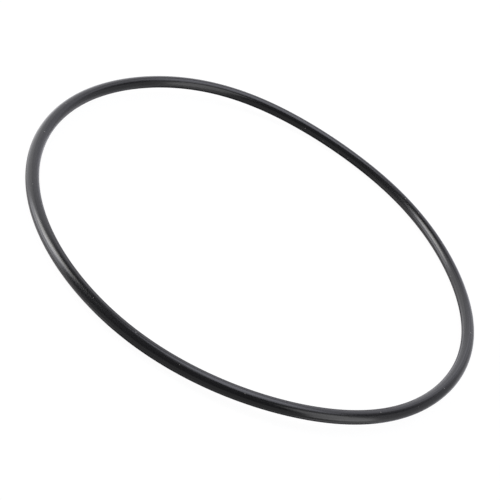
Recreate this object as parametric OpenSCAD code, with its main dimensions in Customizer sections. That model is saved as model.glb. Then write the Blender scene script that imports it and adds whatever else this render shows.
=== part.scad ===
// Rubber o-ring, moulded in one piece, lying in its free state.
// Lengths are in millimetres. The origin is the centre of the ring, and +Z is its axis.
// The ring lies with a slight saddle: it is highest where it crosses the X axis, and lowest
// where it crosses the Y axis. Its centreline is four tangent arcs that lie on one sphere.

/* [Ring] */
// Inside diameter of the ring
inner_d = 190; // [60:1:400]
// Diameter of the rubber section
section_d = 5.3; // [2:0.1:10]
// Height of the saddle, from the centreline's lowest point to its highest
saddle_h = 2.4; // [0:0.1:6]

/* [Parting line] */
// Width of the trimmed flash that runs round the inside and the outside
flash_w = 0.3; // [0.1:0.05:0.5]
// How far the trimmed flash stands out of the round section
flash_h = 0.03; // [0.01:0.01:0.2]

/* [Hidden] */
$fn = 128;

// Radius of the sphere that the centreline lies on
mean_r = (inner_d + section_d) / 2;
// The centreline passes through the mid-plane at X and Y of this size, half way round each quarter
crossing = mean_r / sqrt(2);
// Height of the centreline over the mid-plane where it crosses the X axis
saddle_top = saddle_h / 2;
// Tilt of the plane of each arc against the mid-plane
arc_tilt = atan2(saddle_top, sqrt(mean_r ^ 2 - saddle_top ^ 2) - crossing);
// Radius of each arc, and half of the angle that it spans about its own centre
arc_r = sqrt(mean_r ^ 2 - (crossing * sin(arc_tilt)) ^ 2);
arc_half = atan2(1, cos(arc_tilt));
// Slope of the centreline as it passes through the mid-plane, and the twist of an arc's plane there
crossing_slope = atan(tan(arc_tilt) / sqrt(2));
crossing_twist = asin(sin(arc_tilt) / sqrt(2));
// Angle that an arc runs on past its axis, before it is trimmed there
overrun = 2;
rubber_black = [0.06, 0.06, 0.065];

// The moulded section: round, with the trimmed flash on the inside and the outside.
module section() {
    circle(d = section_d);
    square([section_d + 2 * flash_h, flash_w], center = true);
}

// Half an arc along +Y, from a crossing at the origin, in a plane that is twisted about Y.
// The section is turned back by the twist, so that the flash runs on from one arc to the next.
module half_arc(twist) {
    rotate([0, twist, 0])
        translate([-arc_r, 0, 0])
            rotate_extrude(angle = arc_half + overrun)
                translate([arc_r, 0])
                    rotate(twist)
                        section();
}

// The two half arcs that meet at a crossing: one falls to the Y axis, and one climbs to the X axis.
module crossing_stretch() {
    rotate([0, 0, 45])
        rotate([-crossing_slope, 0, 0])
            translate([mean_r, 0, 0]) {
                half_arc(crossing_twist);
                mirror([0, 1, 0])
                    half_arc(-crossing_twist);
            }
}

// A quarter of the ring, trimmed square at the X axis and at the Y axis.
module quarter() {
    reach = mean_r + section_d;
    intersection() {
        crossing_stretch();
        translate([0, 0, -reach / 2])
            cube(reach);
    }
}

// Half of the ring, on both sides of the Y axis.
module half_ring() {
    quarter();
    mirror([1, 0, 0])
        quarter();
}

module o_ring() {
    color(rubber_black) {
        half_ring();
        mirror([0, 1, 0])
            half_ring();
    }
}

o_ring();
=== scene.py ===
# Black rubber o-ring lying free on a pale studio floor. Lengths are in metres, angles in degrees.
import math

import bpy
import numpy as np
from mathutils import Matrix, Vector


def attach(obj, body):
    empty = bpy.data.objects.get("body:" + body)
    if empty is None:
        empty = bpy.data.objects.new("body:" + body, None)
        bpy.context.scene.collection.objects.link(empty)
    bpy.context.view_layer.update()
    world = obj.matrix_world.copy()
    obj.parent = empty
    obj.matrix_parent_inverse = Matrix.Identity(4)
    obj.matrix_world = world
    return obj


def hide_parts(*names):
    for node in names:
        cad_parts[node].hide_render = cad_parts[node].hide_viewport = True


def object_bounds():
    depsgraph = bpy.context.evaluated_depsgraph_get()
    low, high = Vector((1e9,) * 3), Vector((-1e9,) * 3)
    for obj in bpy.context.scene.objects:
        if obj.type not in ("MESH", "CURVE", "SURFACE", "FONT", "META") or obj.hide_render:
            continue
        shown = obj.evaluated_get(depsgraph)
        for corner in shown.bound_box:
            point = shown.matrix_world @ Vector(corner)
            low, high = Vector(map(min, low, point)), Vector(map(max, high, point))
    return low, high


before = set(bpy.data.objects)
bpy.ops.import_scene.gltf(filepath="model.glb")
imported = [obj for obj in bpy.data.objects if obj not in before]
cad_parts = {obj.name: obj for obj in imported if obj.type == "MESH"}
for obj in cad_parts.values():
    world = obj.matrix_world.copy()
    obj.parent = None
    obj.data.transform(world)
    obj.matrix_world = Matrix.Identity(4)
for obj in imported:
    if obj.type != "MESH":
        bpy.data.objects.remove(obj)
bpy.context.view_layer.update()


# The ring

ring = {
    "insideDiameter": 0.190,
    "sectionDiameter": 0.0053,
    "saddleHeight": 0.0024,  # from the centreline's lowest point to its highest
    "flashHalfWidth": 0.00015,  # of the trimmed flash, inside and outside
    "flashHeight": 0.00003,
    # Small waves of the limp rubber over the saddle: number round the ring, cosine part, sine part
    "waves": [(3, -0.00025, -0.00005), (4, 0.00015, -0.00015), (5, -0.00015, -0.0001), (6, 0.0001, -0.0002)],
    "grainLength": 0.025,  # of the marks that the mould leaves, along the ring
    "grainWidth": 0.0007,  # of the same marks, across the section
    "stationsPerArc": 300,
    "stepsPerHalfSection": 26,
    "stepsAcrossFlash": 8,
}


def ringCentreline(size):
    # Four tangent arcs on one sphere: point = arc centre + arc radius * (cos a * out + sin a * along).
    # Arcs 0 and 2 rise to the X axis and arcs 1 and 3 fall to the Y axis. The waves are added to the height.
    meanRadius = (size["insideDiameter"] + size["sectionDiameter"]) / 2
    top = size["saddleHeight"] / 2
    crossing = meanRadius / math.sqrt(2)
    tilt = math.atan2(top, math.sqrt(meanRadius**2 - top**2) - crossing)
    offset = crossing * math.sin(tilt)  # from the sphere's centre to an arc's plane
    arcRadius = math.sqrt(meanRadius**2 - offset**2)
    halfAngle = math.atan2(1, math.cos(tilt))
    n = size["stationsPerArc"]
    arc = np.repeat(np.arange(4), n)
    a = np.tile(np.linspace(-halfAngle, halfAngle, n, endpoint=False), 4)
    side = np.where(arc % 2 == 0, 1.0, -1.0)
    turn = arc * math.pi / 2
    radial = np.stack([np.cos(turn), np.sin(turn), np.zeros(4 * n)], 1)
    along = np.stack([-np.sin(turn), np.cos(turn), np.zeros(4 * n)], 1)
    rise = np.outer(side, [0.0, 0.0, 1.0])
    out = radial * math.cos(tilt) + rise * math.sin(tilt)
    centre = offset * (radial * math.sin(tilt) - rise * math.cos(tilt))
    points = centre + arcRadius * (np.cos(a)[:, None] * out + np.sin(a)[:, None] * along)
    angle = np.arctan2(points[:, 1], points[:, 0])
    for count, cosPart, sinPart in size["waves"]:
        points[:, 2] += cosPart * np.cos(count * angle) + sinPart * np.sin(count * angle)
    return points


def ringSection(size):
    # Angles round the section, and the distance from its middle at each: the section's radius, plus
    # flash height * ridge, where ridge = (1 - (height / half the flash's width) squared) squared.
    radius = size["sectionDiameter"] / 2
    flashAngle = math.asin(size["flashHalfWidth"] / radius)
    across = np.linspace(-flashAngle, flashAngle, size["stepsAcrossFlash"] + 1)
    upper = np.linspace(flashAngle, math.pi - flashAngle, size["stepsPerHalfSection"] + 2)[1:-1]
    angles = np.concatenate([across, upper, math.pi + across, math.pi + upper])
    ridge = np.clip(1 - (radius * np.sin(angles) / size["flashHalfWidth"]) ** 2, 0, None) ** 2
    return angles, radius + size["flashHeight"] * ridge, ridge


def sweptTube(name, centreline, angles, distances):
    # Point (i, j) = centreline i + distance j * (cos angle j * outward i + sin angle j * upward i), where
    # outward is level and square to the centreline, and upward is square to both.
    tangent = np.roll(centreline, -1, 0) - np.roll(centreline, 1, 0)
    tangent /= np.linalg.norm(tangent, axis=1)[:, None]
    outward = centreline * [1, 1, 0]
    outward -= np.sum(outward * tangent, 1)[:, None] * tangent
    outward /= np.linalg.norm(outward, axis=1)[:, None]
    upward = np.cross(outward, tangent)
    level = (distances * np.cos(angles))[None, :, None]
    height = (distances * np.sin(angles))[None, :, None]
    points = centreline[:, None] + level * outward[:, None] + height * upward[:, None]
    rows, columns = len(centreline), len(angles)
    i, j = np.meshgrid(np.arange(rows), np.arange(columns), indexing="ij")
    nextI, nextJ = (i + 1) % rows, (j + 1) % columns
    row, nextRow = i * columns, nextI * columns
    faces = np.stack([row + j, nextRow + j, nextRow + nextJ, row + nextJ], -1)
    mesh = bpy.data.meshes.new(name)
    mesh.from_pydata(points.reshape(-1, 3), [], faces.reshape(-1, 4).tolist())
    mesh.polygons.foreach_set("use_smooth", np.ones(len(mesh.polygons), dtype=bool))
    piece = bpy.data.objects.new(name, mesh)
    bpy.context.collection.objects.link(piece)
    return piece


def addPattern(piece, size, centreline, angles, ridge):
    # Two patterns that follow the rubber. The UV map "skin" is in metres, along the ring and round the
    # section. The grain's place is a point in four dimensions, which closes on itself both ways:
    # ring's radius in grains * (cos turn, sin turn), section's radius in grains * (cos angle, sin angle).
    rows, columns = len(centreline), len(angles)
    meanRadius = (size["insideDiameter"] + size["sectionDiameter"]) / 2
    radius = size["sectionDiameter"] / 2
    turn = np.repeat(np.arctan2(centreline[:, 1], centreline[:, 0]), columns)
    angle = np.tile(angles, rows)
    alongCells, acrossCells = meanRadius / size["grainLength"], radius / size["grainWidth"]
    place = np.stack([alongCells * np.cos(turn), alongCells * np.sin(turn), acrossCells * np.cos(angle)], 1)
    for name, kind, key, values in (
        ("partingLine", "FLOAT", "value", np.tile(ridge, rows)),
        ("grainPlace", "FLOAT_VECTOR", "vector", place.ravel()),
        ("grainFourth", "FLOAT", "value", acrossCells * np.sin(angle)),
    ):
        piece.data.attributes.new(name, kind, "POINT").data.foreach_set(key, values.astype(np.float32))
    i, j = np.meshgrid(np.arange(rows), np.arange(columns), indexing="ij")
    u = np.stack([i, i + 1, i + 1, i], -1) * (2 * math.pi * meanRadius / rows)
    steps = np.append(angles, angles[0] + 2 * math.pi) * radius
    v = steps[np.stack([j, j, j + 1, j + 1], -1)]
    skin = np.stack([u, v], -1).astype(np.float32)
    piece.data.uv_layers.new(name="skin").data.foreach_set("uv", skin.ravel())


centreline = ringCentreline(ring)
angles, distances, ridge = ringSection(ring)
rubberRing = sweptTube("rubber_ring", centreline, angles, distances)
addPattern(rubberRing, ring, centreline, angles, ridge)
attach(rubberRing, "root")
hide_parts("o_ring")
print("ring made,", len(rubberRing.data.polygons), "faces")


# The rubber

rubber = {
    "darkest": (0.007, 0.007, 0.0075),
    "palest": (0.017, 0.017, 0.0175),
    "patchSize": 0.03,  # of the faint bloom that lightens the rubber in patches
    "patchDetail": 3.0,
    "mottleSize": 0.0012,  # of the finer spots in it
    "mottleShare": 0.45,
    "fineDetail": 2.0,  # of the spots, the mould's marks and the skin
    "roughness": 0.2,
    "grainRoughness": 0.05,  # how far the mould's marks raise or lower the roughness
    "grainHeight": 0.0000012,
    "skinSize": 0.0002,  # of the fine matt skin
    "skinHeight": 0.000001,
    "trimmedRoughness": 0.12,  # added on the trimmed flash
    "dustRoughness": 0.4,  # added on a speck of dust
    "dust": (0.22, 0.215, 0.20),
    "dustSpacing": 0.005,
    "dustSize": 0.00024,
    "dustShare": 0.3,  # of the places that hold a speck
}


def addNode(tree, kind, inputs=None, **settings):
    node = tree.nodes.new(kind)
    for key, value in settings.items():
        setattr(node, key, value)
    for key, value in (inputs or {}).items():
        socket = node.inputs[key]
        if hasattr(value, "is_output"):
            tree.links.new(value, socket)
        else:
            socket.default_value = value
    return node


def calculate(tree, operation, *values):
    return addNode(tree, "ShaderNodeMath", dict(enumerate(values)), operation=operation).outputs[0]


def noise(tree, place, size, detail):
    inputs = {"Vector": place, "Scale": 1 / size, "Detail": detail}
    return addNode(tree, "ShaderNodeTexNoise", inputs).outputs[0]


def mixColour(tree, share, first, second):
    # Sockets 6 and 7 of a Mix node are its two colours
    inputs = {0: share, 6: first if hasattr(first, "is_output") else (*first, 1), 7: (*second, 1)}
    return addNode(tree, "ShaderNodeMix", inputs, data_type="RGBA").outputs[2]


def bump(tree, height, distance, under=None):
    inputs = {"Height": height, "Distance": distance, "Strength": 1.0}
    if under:
        inputs["Normal"] = under
    return addNode(tree, "ShaderNodeBump", inputs).outputs[0]


def rubberMaterial(look):
    material = bpy.data.materials.new("black rubber")
    material.use_nodes = True
    tree = material.node_tree
    shader = tree.nodes["Principled BSDF"]
    place = addNode(tree, "ShaderNodeTexCoord").outputs["Object"]
    grainPlace = addNode(tree, "ShaderNodeAttribute", attribute_name="grainPlace").outputs["Vector"]
    grainFourth = addNode(tree, "ShaderNodeAttribute", attribute_name="grainFourth").outputs["Fac"]
    trimmed = addNode(tree, "ShaderNodeAttribute", attribute_name="partingLine").outputs["Fac"]
    skinMap = addNode(tree, "ShaderNodeUVMap", uv_map="skin").outputs["UV"]

    # The mould's marks run along the ring
    inputs = {"Vector": grainPlace, "W": grainFourth, "Scale": 1.0, "Detail": look["fineDetail"]}
    grain = addNode(tree, "ShaderNodeTexNoise", inputs, noise_dimensions="4D").outputs[0]
    skin = noise(tree, place, look["skinSize"], look["fineDetail"])
    patches = noise(tree, place, look["patchSize"], look["patchDetail"])
    mottle = noise(tree, place, look["mottleSize"], look["fineDetail"])

    # A few specks of dust
    inputs = {"Vector": skinMap, "Scale": 1 / look["dustSpacing"]}
    cells = addNode(tree, "ShaderNodeTexVoronoi", inputs, voronoi_dimensions="2D")
    chance = addNode(tree, "ShaderNodeSeparateColor", {"Color": cells.outputs["Color"]})
    reach = calculate(tree, "MULTIPLY", chance.outputs[1], look["dustSize"] / look["dustSpacing"])
    near = calculate(tree, "LESS_THAN", cells.outputs["Distance"], reach)
    chosen = calculate(tree, "LESS_THAN", chance.outputs[0], look["dustShare"])
    speck = calculate(tree, "MULTIPLY", near, chosen)

    # Sockets 0, 2 and 3 of a Mix node are its share and its two numbers
    inputs = {0: look["mottleShare"], 2: patches, 3: mottle}
    pale = addNode(tree, "ShaderNodeMix", inputs).outputs[0]
    bloom = mixColour(tree, pale, look["darkest"], look["palest"])
    tree.links.new(mixColour(tree, speck, bloom, look["dust"]), shader.inputs["Base Color"])

    smoothest = look["roughness"] - look["grainRoughness"]
    marks = calculate(tree, "MULTIPLY_ADD", grain, 2 * look["grainRoughness"], smoothest)
    cut = calculate(tree, "MULTIPLY_ADD", trimmed, look["trimmedRoughness"], marks)
    dull = calculate(tree, "MULTIPLY_ADD", speck, look["dustRoughness"], cut)
    tree.links.new(dull, shader.inputs["Roughness"])

    marked = bump(tree, grain, look["grainHeight"])
    tree.links.new(bump(tree, skin, look["skinHeight"], marked), shader.inputs["Normal"])
    return material


rubberRing.data.materials.append(rubberMaterial(rubber))
print("rubber made")


# The camera

view = {
    "aim": (0.01137, -0.00947, 0.0),
    "distance": 0.4916,
    "azimuth": -37.815,
    "elevation": 35.114,
    "roll": -30.0,
    "focalPixels": 1215.5,  # for a picture 500 pixels wide
    "picturePixels": 500,
    "sensorWidth": 36,
    "clipStart": 0.01,
}


def direction(azimuth, elevation):
    a, e = math.radians(azimuth), math.radians(elevation)
    return Vector((math.cos(a) * math.cos(e), math.sin(a) * math.cos(e), math.sin(e)))


def placed(position, aim, roll=0):
    # Looks along -Z from position to aim, with +Y up, then turned about its own axis
    back = (position - aim).normalized()
    right = Vector((0, 0, 1)).cross(back).normalized()
    up = back.cross(right)
    turn = Matrix((right, up, back)).transposed().to_4x4()
    return Matrix.Translation(position) @ turn @ Matrix.Rotation(math.radians(roll), 4, "Z")


def makeCamera(settings):
    lens = bpy.data.cameras.new("camera")
    lens.sensor_width = settings["sensorWidth"]
    lens.lens = settings["focalPixels"] * settings["sensorWidth"] / settings["picturePixels"]
    lens.clip_start = settings["clipStart"]
    camera = bpy.data.objects.new("camera", lens)
    aim = Vector(settings["aim"])
    position = aim + direction(settings["azimuth"], settings["elevation"]) * settings["distance"]
    camera.matrix_world = placed(position, aim, -settings["roll"])
    bpy.context.collection.objects.link(camera)
    bpy.context.scene.camera = camera


makeCamera(view)
print("camera made")


# The studio

# Soft panels that face the ring. Width and height are the angles that a panel spans, seen from the ring.
panels = {
    "leftBox": {"azimuth": -114, "elevation": 24.5, "width": 12.5, "height": 34, "distance": 1.4,
                "radiance": (4.69, 4.72, 4.83)},
    "leftCore": {"azimuth": -125.5, "elevation": 30.5, "width": 16.5, "height": 45.5, "distance": 2.15,
                 "radiance": (3.57, 3.52, 3.28)},
    "leftGlow": {"azimuth": -119.5, "elevation": 5.5, "width": 36, "height": 57, "distance": 1.55,
                 "radiance": (1.77, 1.78, 1.92)},
    "leftLow": {"azimuth": -138, "elevation": -16, "width": 85, "height": 110, "distance": 0.95,
                "radiance": (0.532, 0.517, 0.515)},
    "rightBox": {"azimuth": 47.5, "elevation": 2.5, "width": 40.5, "height": 118, "distance": 1.1,
                 "radiance": (0.42, 0.418, 0.431)},
    "rightCore": {"azimuth": 30, "elevation": 18, "width": 31, "height": 58.5, "distance": 1.1,
                  "radiance": (1.69, 1.69, 1.72)},
    "rightWall": {"azimuth": 93, "elevation": -7.5, "width": 52, "height": 83, "distance": 1.05,
                  "radiance": (0.427, 0.432, 0.459)},
    "overhead": {"azimuth": 105.5, "elevation": 74.5, "width": 39, "height": 35.5, "distance": 0.95,
                 "radiance": (2.03, 2.05, 2.29)},
    "backHigh": {"azimuth": 140.5, "elevation": 42, "width": 70.5, "height": 40.5, "distance": 2.15,
                 "radiance": (0.244, 0.235, 0.262)},
    "back": {"azimuth": 129, "elevation": 36.5, "width": 27, "height": 138, "distance": 1.7,
             "radiance": (0.711, 0.72, 0.793)},
    "backLow": {"azimuth": 134.5, "elevation": -12, "width": 88.5, "height": 59, "distance": 3.3,
                "radiance": (0.347, 0.336, 0.355)},
    "backLeft": {"azimuth": -160.5, "elevation": 13.5, "width": 105, "height": 76.5, "distance": 4.6,
                 "radiance": (0.91, 0.919, 0.964)},
    "frontLow": {"azimuth": -20.5, "elevation": -33.5, "width": 140, "height": 77.5, "distance": 1.15,
                 "radiance": (0.303, 0.303, 0.303)},
}
studio = {
    "roomRadiance": (0.075, 0.074, 0.086),
    "backdrop": (1.0, 1.0, 1.0),
    "floorRadius": 4.0,
    "floorSides": 96,
    "floorColour": (0.08, 0.08, 0.08),
    "floorRoughness": 0.9,
    "floorGlow": 0.95,  # keeps the floor near white, as in an overexposed product photo
}


def makePanel(name, spec):
    distance = spec["distance"]
    light = bpy.data.lights.new(name, "AREA")
    light.shape = "RECTANGLE"
    light.size = 2 * distance * math.tan(math.radians(spec["width"] / 2))
    light.size_y = 2 * distance * math.tan(math.radians(spec["height"] / 2))
    light.color = spec["radiance"]
    light.energy = math.pi * light.size * light.size_y
    panel = bpy.data.objects.new(name, light)
    panel.matrix_world = placed(direction(spec["azimuth"], spec["elevation"]) * distance, Vector((0, 0, 0)))
    panel.visible_camera = False
    bpy.context.collection.objects.link(panel)


def makeRoom(settings):
    world = bpy.data.worlds.new("studio")
    world.use_nodes = True
    tree = world.node_tree
    tree.nodes.clear()
    room, backdrop = (
        addNode(tree, "ShaderNodeBackground", {"Color": (*settings[key], 1)}).outputs[0]
        for key in ("roomRadiance", "backdrop")
    )
    seen = addNode(tree, "ShaderNodeLightPath").outputs["Is Camera Ray"]
    mix = addNode(tree, "ShaderNodeMixShader", {0: seen, 1: room, 2: backdrop})
    addNode(tree, "ShaderNodeOutputWorld", {"Surface": mix.outputs[0]})
    bpy.context.scene.world = world


def makeFloor(settings, height):
    mesh = bpy.data.meshes.new("floor")
    rim = np.linspace(0, 2 * math.pi, settings["floorSides"], endpoint=False)
    points = np.stack([np.cos(rim), np.sin(rim), np.zeros(len(rim))], 1) * settings["floorRadius"]
    points[:, 2] = height
    mesh.from_pydata(points, [], [list(range(len(rim)))])
    floor = bpy.data.objects.new("floor", mesh)
    bpy.context.collection.objects.link(floor)
    material = bpy.data.materials.new("pale floor")
    material.use_nodes = True
    shader = material.node_tree.nodes["Principled BSDF"]
    shader.inputs["Base Color"].default_value = (*settings["floorColour"], 1)
    shader.inputs["Roughness"].default_value = settings["floorRoughness"]
    shader.inputs["Specular IOR Level"].default_value = 0.0
    shader.inputs["Emission Color"].default_value = (1, 1, 1, 1)
    shader.inputs["Emission Strength"].default_value = settings["floorGlow"]
    material.cycles.emission_sampling = "NONE"  # its glow lights nothing
    mesh.materials.append(material)
    floor.visible_glossy = floor.visible_diffuse = floor.visible_shadow = False


for panelName, spec in panels.items():
    makePanel(panelName, spec)
makeRoom(studio)
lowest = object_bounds()[0].z
makeFloor(studio, lowest)
bpy.context.scene.view_settings.view_transform = "Standard"
print("studio made, floor at", round(lowest, 5))
